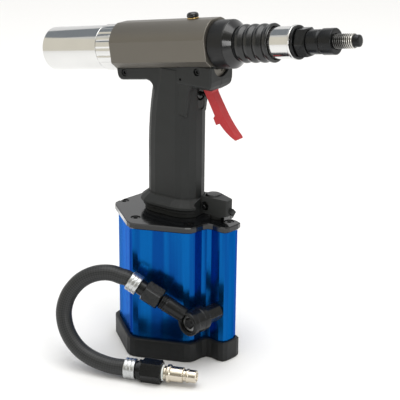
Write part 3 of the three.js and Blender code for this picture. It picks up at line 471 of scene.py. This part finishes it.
def make_finishes():
    # Where the mandrel's thread crests get their painted highlight.
    mandrel_crest_highlight = (0.1765, 0.006)
    return {
        "composite": composite(),
        "rubber": rubber(),
        "soft_rubber": rubber("bellows_rubber", 0.22, 0.55),
        "hose": hose_cover(),
        "oxide": black_oxide(),
        "crest_highlight_oxide": black_oxide("crest_highlight_oxide_steel", mandrel_crest_highlight),
        "enamel": enamel(),
        "matt_enamel": enamel("matt_enamel", 0.42, 0.3),
        "grey": grey_anodised(),
        "blue": blue_anodised(),
        "polished": turned_metal("polished_steel", (0.74, 0.74, 0.73), 0.12, HEAD_AXIS),
        "steel": turned_metal("turned_steel", (0.5, 0.5, 0.5), 0.3, HEAD_AXIS),
        "zinc": plated("zinc_plate", (0.56, 0.575, 0.58), 0.3),
        "nickel": turned_metal("nickel_plate", (0.66, 0.6, 0.5), 0.2, PLUG_DIRECTION),
        "brass": plated("brass", (0.6, 0.42, 0.17), 0.28),
        "red": red_plastic(),
        "nylon": nylon(),
    }


# Mesh pieces: profiles are in millimetres, along a piece's own X axis


def aimed(start, direction):
    """A frame whose X axis points along a direction."""
    turn = X_AXIS.rotation_difference(Vector(direction)).to_matrix().to_4x4()
    return Matrix.Translation(Vector(start) * MM) @ turn


def softened(points, radius, closed=False):
    """The outline with its corners rounded."""
    steps = 4
    longest_share = 0.45
    out = []
    count = len(points)
    for i, point in enumerate(points):
        here = Vector(point)
        if not closed and i in (0, count - 1):
            out.append(here)
            continue
        before = Vector(points[i - 1]) - here
        after = Vector(points[(i + 1) % count]) - here
        reach = min(radius, longest_share * min(before.length, after.length))
        start = here + before.normalized() * reach
        end = here + after.normalized() * reach
        for k in range(steps + 1):
            t = k / steps
            out.append(start * (1 - t) ** 2 + here * (2 * t * (1 - t)) + end * t * t)
    return out


def add_piece(name, vertices, faces, place, finish, body, slot, sharp=SHARP_ANGLE):
    """A smooth-shaded mesh object. It rides on a CAD body, unless the body is None."""
    mesh = bpy.data.meshes.new(name)
    mesh.from_pydata([place @ (Vector(v) * MM) for v in vertices], [], faces)
    mesh.polygons.foreach_set("use_smooth", [True] * len(mesh.polygons))
    mesh.set_sharp_from_angle(angle=sharp * DEG)
    mesh.materials.append(FINISHES[finish])
    piece = linked(name, mesh)
    if body:
        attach(piece, body)
    return piece


def ring_faces(rings, closed):
    """Quads between rings of vertices, with the ends joined or capped."""
    count = len(rings[0])
    total = len(rings)
    faces = []
    for i in range(total if closed else total - 1):
        a, b = i * count, ((i + 1) % total) * count
        for j in range(count):
            k = (j + 1) % count
            faces.append((a + j, a + k, b + k, b + j))
    if not closed:
        faces.append(tuple(reversed(range(count))))
        faces.append(tuple(range((total - 1) * count, total * count)))
    return faces


def add_rings(name, rings, closed, place, finish, body, slot, **options):
    vertices = [point for ring in rings for point in ring]
    faces = ring_faces(rings, closed)
    return add_piece(name, vertices, faces, place, finish, body, slot, **options)


def circle_ring(x, radius, count=SEGMENTS):
    step = 2 * math.pi / count
    return [(x, radius * math.cos(i * step), radius * math.sin(i * step)) for i in range(count)]


def add_rod(name, profile, place, finish, body, slot, soft=0.4, **options):
    """A solid of revolution from (station, radius) points."""
    ends = [(profile[0][0], 0)] + list(profile) + [(profile[-1][0], 0)]
    points = softened(ends, soft)[1:-1]
    rings = [circle_ring(x, r) for x, r in points]
    return add_rings(name, rings, False, place, finish, body, slot, **options)


def add_tube(name, outer, bore, place, finish, body, slot, soft=0.4, **options):
    """A bored solid of revolution from (station, radius) points."""
    loop = list(outer) + [(outer[-1][0], bore), (outer[0][0], bore)]
    rings = [circle_ring(x, r) for x, r in softened(loop, soft, closed=True)]
    return add_rings(name, rings, True, place, finish, body, slot, **options)


def hexagon_radius(angle, flats):
    """The distance from a hexagon's centre to its side, with the corners eased."""
    corner_reach = 1.142
    sector = math.pi / 3
    turn = (angle % sector) - sector / 2
    return flats / 2 * min(1 / math.cos(turn), corner_reach)


def hexagon_rings(flats, low, high, lead):
    """Rings of a nut whose ends are chamfered by a cone."""
    chamfer_angle = 30 * DEG
    start = flats / 2 - lead
    slope = math.tan(chamfer_angle)
    step = 2 * math.pi / SEGMENTS
    rings = [[] for _ in range(4)]
    for i in range(SEGMENTS):
        angle = i * step
        radius = hexagon_radius(angle, flats)
        rise = (radius - start) * slope
        stations = ((low, start), (low + rise, radius), (high - rise, radius), (high, start))
        for ring, (x, r) in zip(rings, stations):
            ring.append((x, r * math.cos(angle), r * math.sin(angle)))
    return rings


def add_nut(name, flats, low, high, lead, place, finish, body, slot, bore=None, tail=()):
    """A hexagon nut, with a bore, or with a tail of (station, radius) points after it."""
    rings = hexagon_rings(flats, low, high, lead)
    rings += [circle_ring(x, r) for x, r in tail]
    if bore:
        rings += [circle_ring(high, bore), circle_ring(low, bore)]
    return add_rings(name, rings, bool(bore), place, finish, body, slot, sharp=24)


def add_socket_screw(name, place, shank, head, depth, length):
    """A socket-head screw: X points out of its head, and 0 is the head's underside."""
    count = 48
    step = 2 * math.pi / count
    rings = [circle_ring(x, r, count) for x, r in ((-length, shank), (0, shank))]
    edge = softened([(0, shank), (0, head), (depth, head), (depth, head * 0.6)], 0.5)
    rings += [circle_ring(x, r, count) for x, r in edge[1:]]
    for x, share in ((depth - 0.05, 1.06), (depth - 0.25, 1), (depth * 0.45, 0.98)):
        ring = []
        for i in range(count):
            radius = hexagon_radius(i * step, head * 0.92) * share
            ring.append((x, radius * math.cos(i * step), radius * math.sin(i * step)))
        rings.append(ring)
    piece = add_rings(name + "_fine", rings, False, place, "oxide", "tool_body", "black_steel")
    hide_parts(name)


# Head


def add_motor_tube():
    """The tube and its bore, which steps down in front."""
    profile = [(-140, 17.6), (-137.8, 19.8), (-74.1, 19.8), (-74.1, 14.6), (-46, 14.6)]
    bore = [(-46, 11.8), (-77.8, 11.8), (-77.8, 16.6), (-140, 16.6)]
    rings = [circle_ring(x, r) for x, r in softened(profile + bore, 0.5, closed=True)]
    piece = add_rings(
        "motor_tube_fine", rings, True, HEAD, "polished", "tool_body", "polished_steel"
    )
    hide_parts("motor_tube")


def add_adjuster_ring():
    """The fluted ring: shallow grooves along it, eased at both ends."""
    flutes, per_flute = 18, 14
    crest, groove, groove_place, groove_width = 20.6, 0.85, 0.72, 0.13
    rear, front, bore = -73.8, -55.7, 14.9
    count = flutes * per_flute
    stations = [(rear, 19.4), (-73.5, 20), (-72.8, crest), (-57, crest), (-56, 20.2), (front, 19.6)]
    rings = []
    for x, radius in stations:
        ring = []
        for i in range(count):
            angle = 2 * math.pi * i / count
            phase = (i % per_flute) / per_flute - groove_place
            dip = groove * math.exp(-((phase / groove_width) ** 2))
            r = min(radius, crest - dip)
            ring.append((x, r * math.cos(angle), r * math.sin(angle)))
        rings.append(ring)
    rings += [circle_ring(front, bore, count), circle_ring(rear, bore, count)]
    piece = add_rings(
        "adjuster_ring_fine", rings, True, HEAD, "polished", "adjuster_ring", "polished_steel", sharp=28
    )
    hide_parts("adjuster_ring")
    turn = -30 * DEG
    side = HEAD @ Matrix.Rotation(turn, 4, "X") @ aimed((-65, 0, 20.2), (0, 0, 1))
    mark = [(0, 0.8), (0.45, 0.75)]
    for name, shift in (("adjuster_mark_a", -1.1), ("adjuster_mark_b", 1.1)):
        place = side @ Matrix.Translation((0, 0, shift * MM))
        add_rod(name, mark, place, "oxide", "adjuster_ring", "black_steel", soft=0.1)


def add_front_cap():
    """A matt ring and a glossier cone, which are one CAD node."""
    ring = [(38, 14.6), (48.8, 14.6), (48.8, 20.1), (49.4, 20.7), (63.6, 20.7), (64.2, 20.3)]
    cap = add_tube(
        "front_cap_ring", ring, 9.8, HEAD, "matt_enamel", "tool_body", "black_enamel", soft=0.3
    )
    cone = [(64.25, 20.4), (64.6, 20.2), (69.9, 15.1), (70.2, 14.8)]
    piece = add_tube(
        "front_cap_cone", cone, 9.9, HEAD, "enamel", "tool_body", "black_enamel", soft=0.25
    )
    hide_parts("front_cap")
    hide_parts("front_cap")


def add_bellows():
    """Whole folds and a short last one."""
    whole_folds, start, front, pitch = 3, 70.5, 104.4, 9.1
    root, shoulder, crest = 14.3, 16.1, 16.3
    outer = [(start, root)]
    for i in range(whole_folds + 1):
        x = start + i * pitch
        outer += [(x + 0.6, root), (x + pitch * 0.4, shoulder)]
        if i < whole_folds:
            outer += [(x + pitch * 0.72, crest), (x + pitch, root)]
    outer += [(front - 0.9, crest), (front, 15.8)]
    piece = add_tube(
        "bellows_fine", outer, 13.7, HEAD, "soft_rubber", "tool_body", "black_rubber", soft=1.6
    )
    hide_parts("bellows")
    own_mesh(piece)


def add_nose():
    """The sleeve with its flange, the locknut and the anvil."""
    sleeve = [(100, 13.3), (122.6, 13.3), (122.9, 14.1), (123.3, 14.3), (124.8, 14.3)]
    sleeve += [(125.2, 13.7)]
    piece = add_tube(
        "nose_sleeve_fine", sleeve, 9.8, HEAD, "polished", "nose_sleeve", "polished_steel", soft=0.3
    )
    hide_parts("nose_sleeve")
    flange = [(125.25, 13.1), (125.8, 13.1), (126.1, 14), (127.3, 14), (127.9, 13.3)]
    rim = add_tube(
        "nose_flange_fine", flange, 9.8, HEAD, "oxide", "nose_sleeve", "polished_steel", soft=0.3
    )
    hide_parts("nose_sleeve")
    nut = add_nut(
        "locknut_fine", 22.6, 128.2, 137.6, 0.6, HEAD, "oxide", "tool_body", "black_steel", bore=9.8
    )
    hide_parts("locknut")
    anvil = [(137.9, 10), (147.2, 10), (148.2, 9.3), (148.6, 9.3), (150.2, 10.7)]
    anvil += [(160.8, 10.7), (161.3, 10.2)]
    piece = add_tube(
        "anvil_fine", anvil, 6.4, HEAD, "oxide", "tool_body", "black_steel", soft=0.35
    )
    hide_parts("anvil")


def add_mandrel():
    """The threaded mandrel, its thread a true helix."""
    pitch, depth, radius = 1.75, 0.95, 6.0
    first, last, rear = 153.0, 177.6, 112
    half_valley, flat_root = 0.43, 1.15
    runout, end_share = 0.8, 0.25
    samples_per_turn = 9
    count = 64
    rings = [circle_ring(rear, radius, count), circle_ring(first - 2, radius, count)]
    steps = int((last - first) / pitch * samples_per_turn)
    for i in range(steps + 1):
        x = first + (last - first) * i / steps
        fade = min(1, (x - first) / pitch, (last - x) / (runout * pitch) + end_share)
        ring = []
        for j in range(count):
            turn = j / count
            phase = ((x - first) / pitch - turn) % 1
            valley = max(0, 1 - abs(phase - 0.5) / half_valley)
            r = radius - depth * fade * min(1, valley * flat_root)
            angle = 2 * math.pi * turn
            ring.append((x, r * math.cos(angle), r * math.sin(angle)))
        rings.append(ring)
    for x, r in ((177.75, 5.2), (178, 4.9), (181.6, 4.9), (182.1, 4.7), (182.4, 4.2)):
        rings.append(circle_ring(x, r, count))
    rings.append(circle_ring(182.4, 2.2, count))
    piece = add_rings(
        "mandrel_fine", rings, False, HEAD, "crest_highlight_oxide", "mandrel", "black_steel", sharp=40
    )
    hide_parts("mandrel")


def add_oil_plug():
    """A domed plug on its brass washer."""
    place = HEAD @ aimed((23.6, 0, 0), (0, 0, 1))
    ring = [(22.6, 5.1), (23.6, 5.1)]
    washer = add_tube("plug_seal_fine", ring, 3, place, "brass", "tool_body", "brass", soft=0.2)
    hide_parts("plug_seal")
    dome = [(18.3, 2.6), (23.9, 2.6), (23.9, 5.2), (26.1, 5.2), (27.4, 4.4), (28.1, 3), (28.3, 1.6)]
    plug = add_rod("oil_plug_fine", dome, place, "enamel", "tool_body", "black_enamel", soft=0.8)
    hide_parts("oil_plug")


def add_return_spring():
    """A copy of the CAD spring."""
    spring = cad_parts["return_spring"]
    piece = linked("return_spring_fine", spring.data.copy())
    piece.data.materials.clear()
    piece.data.materials.append(FINISHES["steel"])
    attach(piece, "tool_body")
    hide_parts("return_spring")
    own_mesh(piece)


# Foot


PLATE_SCREW = {"shank": 1.9, "head": 4.1, "depth": 3.4, "length": 0.9}
SHELL_SCREW = {"shank": 1.5, "head": 3.1, "depth": 2.2, "length": 10.8}


def add_node_screw(name, outward, size):
    """A socket screw whose head is flush with its CAD node's outer end."""
    low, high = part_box(name)
    outward = Vector(outward)
    reach = (high - low) / 2 / MM
    top = (low + high) / 2 / MM + Vector([r * o for r, o in zip(reach, outward)])
    add_socket_screw(name, aimed(top - outward * size["depth"], outward), **size)


def add_screws():
    for i in range(1, 8):
        add_node_screw(f"plate_screw_{i}", (0, 0, 1), PLATE_SCREW)
    for side, direction in (("right", -1), ("left", 1)):
        for i in (1, 2):
            add_node_screw(f"shell_screw_{side}_{i}", (0, direction, 0), SHELL_SCREW)


def add_silencer():
    place = FOOT @ aimed((41.5, 8, 0), (0, 0, 1))
    profile = [(147.8, 7.1), (150.4, 7.1), (151.4, 6.2)]
    piece = add_rod(
        "silencer_cap_fine", profile, place, "oxide", "tool_body", "black_steel", soft=0.5
    )
    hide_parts("silencer_cap")


# Inlet and hose, in millimetres

ARM_START = Vector((61.9, -38, 49.0))
ARM_DIRECTION = Vector((-0.8, -0.38, 0.463)).normalized()
ARM = FOOT @ aimed(ARM_START, ARM_DIRECTION)
FERRULE_START = 56.8
FERRULE_LENGTH = 10.4
HOSE_DIAMETER = 0.0144
PLUG_START = Vector((15, -91.2, 9.7))
PLUG = aimed(PLUG_START, PLUG_DIRECTION)


def on_arm(distance):
    """A point on the arm's axis, in millimetres."""
    return (ARM @ Vector((distance * MM, 0, 0))) / MM


HOSE_EXIT = on_arm(FERRULE_START + FERRULE_LENGTH + 0.3)
HOSE_ROUTE = [
    HOSE_EXIT,
    on_arm(FERRULE_START + FERRULE_LENGTH + 3.3),
    (-8, -67.2, 82.8),
    (-14, -70, 84.8),
    (-20.5, -73.4, 85.3),
    (-27.5, -77.2, 84),
    (-34, -81, 81),
    (-40, -84.7, 76.4),
    (-45, -88.4, 70),
    (-48.6, -91.8, 62.6),
    (-50.2, -94.6, 55),
    (-50, -97, 47.4),
    (-47.6, -99, 39.6),
    (-43.4, -100.4, 32),
    (-37.2, -101.2, 25),
    (-29.6, -101.2, 19),
    (-20.6, -100.4, 14.6),
    (-11.2, -99, 12),
    (-2, -97, 10.4),
    (6, -94.7, 9.7),
    PLUG_START - PLUG_DIRECTION * 3,
    PLUG_START - PLUG_DIRECTION * 0.3,
]


def smooth_route(route, steps):
    """Points along a centripetal curve through the route."""
    points = [Vector(p) for p in route]
    points = [2 * points[0] - points[1]] + points + [2 * points[-1] - points[-2]]
    out = []
    for i in range(1, len(points) - 2):
        p0, p1, p2, p3 = points[i - 1 : i + 3]
        t0 = 0
        t1 = t0 + (p1 - p0).length ** 0.5
        t2 = t1 + (p2 - p1).length ** 0.5
        t3 = t2 + (p3 - p2).length ** 0.5
        for k in range(steps):
            t = t1 + (t2 - t1) * k / steps
            a1 = p0.lerp(p1, (t - t0) / (t1 - t0))
            a2 = p1.lerp(p2, (t - t1) / (t2 - t1))
            a3 = p2.lerp(p3, (t - t2) / (t3 - t2))
            b1 = a1.lerp(a2, (t - t0) / (t2 - t0))
            b2 = a2.lerp(a3, (t - t1) / (t3 - t1))
            out.append(b1.lerp(b2, (t - t1) / (t2 - t1)))
    out.append(points[-2])
    return out


def lay_out_strands(hose, sides, distances):
    """Texture coordinates: turns round the hose and metres along it."""
    layer = hose.data.uv_layers.new(name="strands")
    for polygon in hose.data.polygons:
        corners = [(v // sides, v % sides) for v in polygon.vertices]
        wraps = max(j for _, j in corners) - min(j for _, j in corners) > sides / 2
        for loop, (i, j) in zip(polygon.loop_indices, corners):
            turn = (j + sides if wraps and j < sides / 2 else j) / sides
            layer.data[loop].uv = (turn, distances[i] * MM)


def add_hose():
    """The hose as a tube along its route, and the points of that route in metres."""
    sides = 48
    steps_between_points = 8
    path = smooth_route(HOSE_ROUTE, steps_between_points)
    radius = HOSE_DIAMETER / MM / 2
    across = Vector((0, 0, 1)).cross(path[1] - path[0]).normalized()
    rings, distances, distance = [], [], 0.0
    for i, point in enumerate(path):
        ahead = path[min(i + 1, len(path) - 1)] - path[max(i - 1, 0)]
        ahead.normalize()
        across = (across - ahead * across.dot(ahead)).normalized()
        beside = ahead.cross(across)
        distance += (point - path[i - 1]).length if i else 0
        distances.append(distance)
        ring = []
        for j in range(sides):
            angle = 2 * math.pi * j / sides
            ring.append(point + (across * math.cos(angle) + beside * math.sin(angle)) * radius)
        rings.append(ring)
    hose = add_rings(
        "air_hose_fine", rings, False, Matrix(), "hose", None, "black_rubber", sharp=60
    )
    lay_out_strands(hose, sides, distances)
    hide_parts("air_hose")
    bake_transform(hose)
    return hose, [point * MM for point in path]


def ferrule_profile(start):
    """A crimped sleeve: three bands with a groove between each two."""
    end = start + FERRULE_LENGTH
    outside, groove_floor, end_radius, lead = 9.2, 8.95, 8.5, 0.6
    profile = [(start, end_radius), (start + lead, outside)]
    for groove in (3.1, 6.4):
        x = start + groove
        profile += [(x, outside), (x + 0.3, groove_floor), (x + 0.7, groove_floor), (x + 1, outside)]
    return profile + [(end - lead, outside), (end, end_radius)]


def add_inlet():
    """What turns with the swivel: hub, ribbed arm, hose nut and ferrule."""
    body, slot = "inlet_swivel", "black_steel"
    hub_place = FOOT @ aimed((60.5, -24.6, 47.8), (0, -1, 0))
    hub = [(0, 10.2), (0.9, 11.2), (6.4, 11.2), (7, 10.8), (14.6, 10.8), (15.2, 11.2), (19.8, 11.2)]
    hub += [(21, 10), (21, 8), (16, 8), (16, 5.3), (0, 5.3)]
    rings = [circle_ring(x, r) for x, r in softened(hub, 0.5, closed=True)]
    piece = add_rings("swivel_hub", rings, True, hub_place, "oxide", body, slot)
    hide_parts("inlet_swivel")
    arm = [(9.6, 6.8), (27.6, 7.3)]
    for x in (28.4, 30.4, 32.4):
        arm += [(x, 7.5), (x + 0.7, 7.5), (x + 1, 6.7), (x + 1.5, 6.7)]
    arm = arm[:-2] + [(34.1, 6)]
    piece = add_rod("swivel_arm", arm, ARM, "oxide", body, slot, soft=0.3)
    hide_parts("inlet_swivel")
    tail = [(50.9, 8.2), (51.1, 7), (56.4, 7), (56.5, 6.8)]
    nut = add_nut("hose_nut_fine", 18.4, 34.4, 51, 0.5, ARM, "oxide", body, slot, tail=tail)
    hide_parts("hose_nut")
    sleeve = ferrule_profile(FERRULE_START)
    ferrule = add_rod("hose_ferrule_fine", sleeve, ARM, "zinc", body, "zinc", soft=0.5)
    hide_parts("hose_ferrule")


def add_plug():
    """The far end of the hose, lying on the floor."""
    body = "tool_body"
    sleeve = ferrule_profile(0)
    ferrule = add_rod("plug_ferrule_fine", sleeve, PLUG, "zinc", body, "zinc", soft=0.5)
    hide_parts("plug_ferrule")
    rings = [circle_ring(x, r) for x, r in ((10.7, 7.4), (10.9, 7.6), (12.8, 7.6), (13, 9), (15.4, 9))]
    rings += hexagon_rings(18.8, 15.6, 34, 0.5)
    nut = add_rings("plug_nut_fine", rings, False, PLUG, "oxide", body, "black_steel", sharp=24)
    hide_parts("plug_nut")
    washer = add_tube(
        "plug_washer_fine", [(34.3, 7.2), (35.8, 7.2)], 4, PLUG, "nylon", body, "nylon", soft=0.4
    )
    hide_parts("plug_washer")
    rear, bore_shade_station = 36.1, 20
    plug = [(0, 6.2), (2, 6.2), (2.8, 7.9), (5.2, 8.1), (6.2, 6.8), (17, 6.8), (17.6, 5.3)]
    plug += [(19.8, 5.3), (20.2, 6.2), (21.8, 6.2), (22.2, 5.6), (28.4, 5.6), (29, 5), (29, 3.6)]
    plug += [(18, 2.6), (0, 2.6)]
    plug = [(rear + x, r) for x, r in plug]
    rings = [circle_ring(x, r) for x, r in softened(plug, 0.4, closed=True)]
    piece = add_rings("quick_plug_fine", rings, True, PLUG, "nickel", body, "nickel")
    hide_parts("quick_plug")
    # Painted shade: this dark rubber disc sits deep in the bore only to darken the plug's open end.
    valve = [(rear + bore_shade_station, 2.6), (rear + bore_shade_station + 1, 2.7)]
    add_rod("plug_bore_shade", valve, PLUG, "rubber", body, "black_rubber", soft=0.2)
    return [ferrule, nut, washer, piece]


# CAD nodes that keep their shape

CARRIED_OVER = {
    "composite": ["grip_shell_right", "grip_shell_left", "grip_base", "valve_box", "rear_cap"],
    "rubber": ["foot_boot", "air_piston_seal", "pull_piston_seal"],
    "blue": ["air_cylinder"],
    "enamel": ["top_plate"],
    "grey": ["head_housing", "head_plug"],
    "red": ["trigger"],
    "oxide": ["valve_box_screw", "inlet_adapter", "valve_bush", "valve_pin"],
    "steel": [
        "bottom_plate",
        "air_piston",
        "motor_plate",
        "motor_rotor",
        "drive_shaft",
        "pull_piston",
        "nose_barrel",
        "trigger_pin",
        "swivel_clip",
        "ram_tube",
    ],
    "polished": ["ram_rod"],
}
EDGE_WIDTH = 0.0003
EDGE_WIDTHS = {"head_housing": 0.0005, "trigger": 0.0011, "valve_box": 0.0008, "grip_base": 0.0012}
FLAT_ANGLE = 0.4  # degrees, below which neighbouring faces become one


def finish_cad_node(node, finish):
    """The CAD mesh gets its material, smooth curves and small rounded edges."""
    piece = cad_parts[node]
    piece.data.materials.clear()
    piece.data.materials.append(FINISHES[finish])
    piece.data.polygons.foreach_set("use_smooth", [True] * len(piece.data.polygons))
    flat = piece.modifiers.new("flat_faces", "DECIMATE")
    flat.decimate_type = "DISSOLVE"
    flat.angle_limit = FLAT_ANGLE * DEG
    bevel = piece.modifiers.new("edges", "BEVEL")
    bevel.width = EDGE_WIDTHS.get(node, EDGE_WIDTH)
    bevel.segments = 3
    bevel.limit_method = "ANGLE"
    bevel.angle_limit = SHARP_ANGLE * DEG
    bevel.harden_normals = True


add_studio()
FINISHES = make_finishes()

plug_pieces = add_plug()
hose_piece, hose_path = add_hose()

for finish_name, node_names in CARRIED_OVER.items():
    for node_name in node_names:
        finish_cad_node(node_name, finish_name)
add_inlet()
add_motor_tube()
add_adjuster_ring()
add_front_cap()
add_bellows()
add_nose()
add_mandrel()
add_oil_plug()
add_return_spring()
add_screws()
add_silencer()
